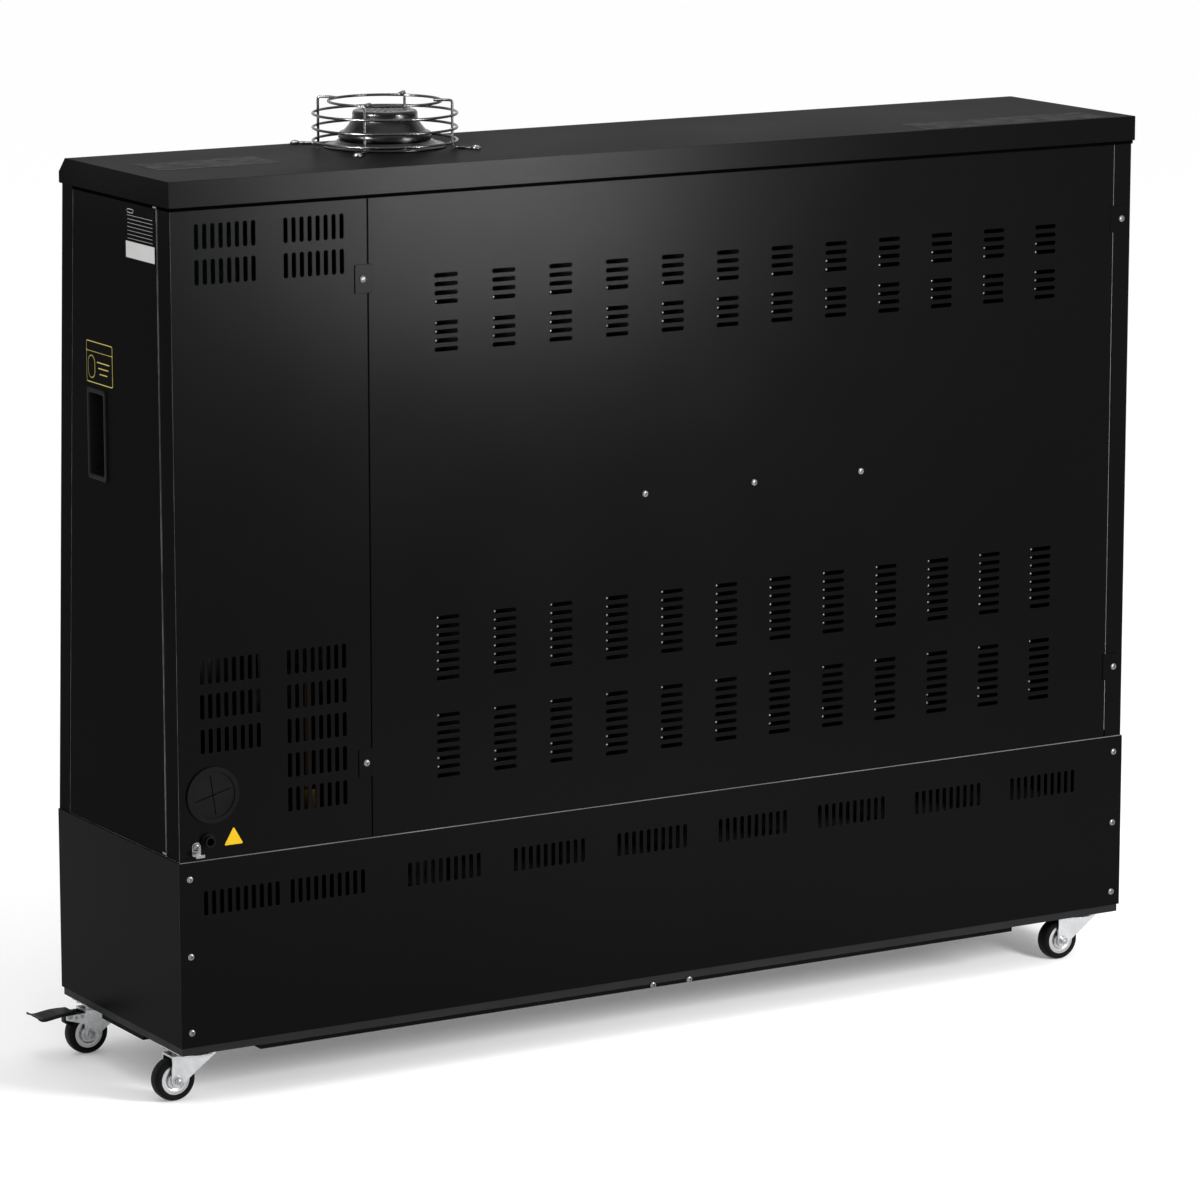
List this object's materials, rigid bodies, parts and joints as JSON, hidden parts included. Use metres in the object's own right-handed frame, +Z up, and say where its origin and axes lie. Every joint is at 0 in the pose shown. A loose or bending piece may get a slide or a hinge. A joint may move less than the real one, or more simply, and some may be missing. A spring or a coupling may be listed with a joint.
{
  "type": "infrared diesel heater",
  "caption": "Free-standing infrared diesel heater with a louvred black cabinet, caged roof flue, pocket handles and braked swivel casters.",
  "frame": {"origin": "centre of the heater's outer box, on the floor", "axes": "+Z up, +Y towards the louvred rear, +X towards the machine end with the cord entry; the radiant front faces -Y"},
  "size_m": [1.2984, 0.3376, 1.0605],
  "materials": {
    "coat": "satin powder coat, near black",
    "coat_fine": "satin powder coat, black",
    "zinc": "bright zinc plating",
    "stainless": "spun stainless steel, satin",
    "wire": "bright welded wire",
    "guard_wire": "black enamel",
    "mirror_sheet": "polished",
    "galvanised": "galvanised sheet, dull",
    "tube_steel": "heat-stained steel",
    "black_plastic": "fine grain",
    "display": "smoked window",
    "button_red": "satin",
    "button_grey": "satin",
    "board": "circuit board",
    "casting": "painted casting",
    "bare_steel": "plain",
    "brass": "plain",
    "copper": "bare copper tube",
    "tank": "satin",
    "switch_blue": "satin",
    "black_rubber": "matt",
    "caster_tread": "hard rubber tread on a plastic hub"
  },
  "bodies": {
    "cabinet": {"chassis_tray": "coat_fine", "drip_pan": "coat_fine", "base_shell": "coat", "base_rear_panel": "coat", "base_deck": "coat_fine", "side_panel_right": "coat", "side_panel_left": "coat", "handle_right": "black_plastic", "handle_left": "black_plastic", "machine_rear_panel": "coat", "main_rear_panel": "coat", "rear_corner_post": "coat", "lid": "coat", "front_frame": "coat", "guard_grille": "guard_wire", "reflector": "mirror_sheet", "heat_shield": "coat_fine", "partition_wall": "coat_fine", "combustion_tube": "tube_steel", "radiant_tube": "tube_steel", "tube_hangers": "galvanised", "flue_dish": "stainless", "flue_cap": "stainless", "flue_cage": "wire", "control_fascia": "black_plastic", "display_window": "display", "control_board": "board", "burner_housing": "casting", "burner_motor": "casting", "blast_tube": "bare_steel", "ignition_transformer": "casting", "fuel_pump": "brass", "tilt_switch": "switch_blue", "fuel_tank": "tank", "filler_neck": "bare_steel", "level_sender": "bare_steel", "fuel_line": "copper", "membrane_grommet": "black_rubber", "cord_clamp": "zinc", "cord_bushing": "black_rubber", "panel_screws": "zinc", "caster_plates": "zinc"},
    "fork_rear_right": {"caster_fork_rear_right": "zinc"},
    "wheel_rear_right": {"caster_wheel_rear_right": "caster_tread"},
    "fork_rear_left": {"caster_fork_rear_left": "zinc"},
    "wheel_rear_left": {"caster_wheel_rear_left": "caster_tread"},
    "fork_front_right": {"caster_fork_front_right": "zinc"},
    "wheel_front_right": {"caster_wheel_front_right": "caster_tread"},
    "fork_front_left": {"caster_fork_front_left": "zinc"},
    "wheel_front_left": {"caster_wheel_front_left": "caster_tread"},
    "pedal_right": {"brake_pedal_right": "black_plastic"},
    "pedal_left": {"brake_pedal_left": "black_plastic"},
    "button_power_body": {"button_power": "button_red"},
    "button_down_body": {"button_down": "button_grey"},
    "button_up_body": {"button_up": "button_grey"},
    "button_timer_body": {"button_timer": "button_grey"},
    "fan_rotor": {"burner_fan": "bare_steel"},
    "filler_seal": {"cap_gasket": "black_rubber"},
    "filler_cap": {"fuel_cap": "black_plastic"},
    "float": {"float_arm": "brass"}
  },
  "joints": [
    {"name": "swivel_rear_right", "type": "hinge", "parent": "cabinet", "child": "fork_rear_right", "pos_m": [0.55815, 0.11725, 0.0517], "axis": [0, 0, 1], "continuous": true},
    {"name": "roll_rear_right", "type": "hinge", "parent": "fork_rear_right", "child": "wheel_rear_right", "pos_m": [0.58315, 0.11725, 0.024], "axis": [0, 1, 0], "continuous": true},
    {"name": "swivel_rear_left", "type": "hinge", "parent": "cabinet", "child": "fork_rear_left", "pos_m": [-0.61345, 0.11725, 0.0517], "axis": [0, 0, 1], "continuous": true},
    {"name": "roll_rear_left", "type": "hinge", "parent": "fork_rear_left", "child": "wheel_rear_left", "pos_m": [-0.58845, 0.11725, 0.024], "axis": [0, 1, 0], "continuous": true},
    {"name": "swivel_front_right", "type": "hinge", "parent": "cabinet", "child": "fork_front_right", "pos_m": [0.55815, -0.10075, 0.0517], "axis": [0, 0, 1], "continuous": true},
    {"name": "roll_front_right", "type": "hinge", "parent": "fork_front_right", "child": "wheel_front_right", "pos_m": [0.58315, -0.10075, 0.024], "axis": [0, 1, 0], "continuous": true},
    {"name": "swivel_front_left", "type": "hinge", "parent": "cabinet", "child": "fork_front_left", "pos_m": [-0.61345, -0.10075, 0.0517], "axis": [0, 0, 1], "continuous": true},
    {"name": "roll_front_left", "type": "hinge", "parent": "fork_front_left", "child": "wheel_front_left", "pos_m": [-0.58845, -0.10075, 0.024], "axis": [0, 1, 0], "continuous": true},
    {"name": "brake_right", "type": "hinge", "parent": "fork_front_right", "child": "pedal_right", "pos_m": [0.60815, -0.10075, 0.0475], "axis": [0, 1, 0], "range_deg": [0, 11]},
    {"name": "brake_left", "type": "hinge", "parent": "fork_front_left", "child": "pedal_left", "pos_m": [-0.56345, -0.10075, 0.0475], "axis": [0, 1, 0], "range_deg": [0, 11]},
    {"name": "press_power", "type": "slide", "parent": "cabinet", "child": "button_power_body", "axis": [0, 0.9986, -0.0531], "range_m": [0, 0.001], "stiffness_N_per_m": 400},
    {"name": "press_down", "type": "slide", "parent": "cabinet", "child": "button_down_body", "axis": [0, 0.9986, -0.0531], "range_m": [0, 0.001], "stiffness_N_per_m": 400},
    {"name": "press_up", "type": "slide", "parent": "cabinet", "child": "button_up_body", "axis": [0, 0.9986, -0.0531], "range_m": [0, 0.001], "stiffness_N_per_m": 400},
    {"name": "press_timer", "type": "slide", "parent": "cabinet", "child": "button_timer_body", "axis": [0, 0.9986, -0.0531], "range_m": [0, 0.001], "stiffness_N_per_m": 400},
    {"name": "fan_spin", "type": "hinge", "parent": "cabinet", "child": "fan_rotor", "pos_m": [0.41235, -0.01275, 0.455], "axis": [1, 0, 0], "continuous": true},
    {"name": "cap_pull", "type": "slide", "parent": "cabinet", "child": "filler_seal", "axis": [0, -1, 0], "range_m": [0, 0.05]},
    {"name": "cap_turn", "type": "hinge", "parent": "filler_seal", "child": "filler_cap", "pos_m": [0.17235, -0.15175, 0.2349], "axis": [0, -1, 0], "range_deg": [0, 90]},
    {"name": "float_lift", "type": "hinge", "parent": "cabinet", "child": "float", "pos_m": [-0.14765, 0.00825, 0.1249], "axis": [0, 1, 0], "range_deg": [0, 60]}
  ]
}
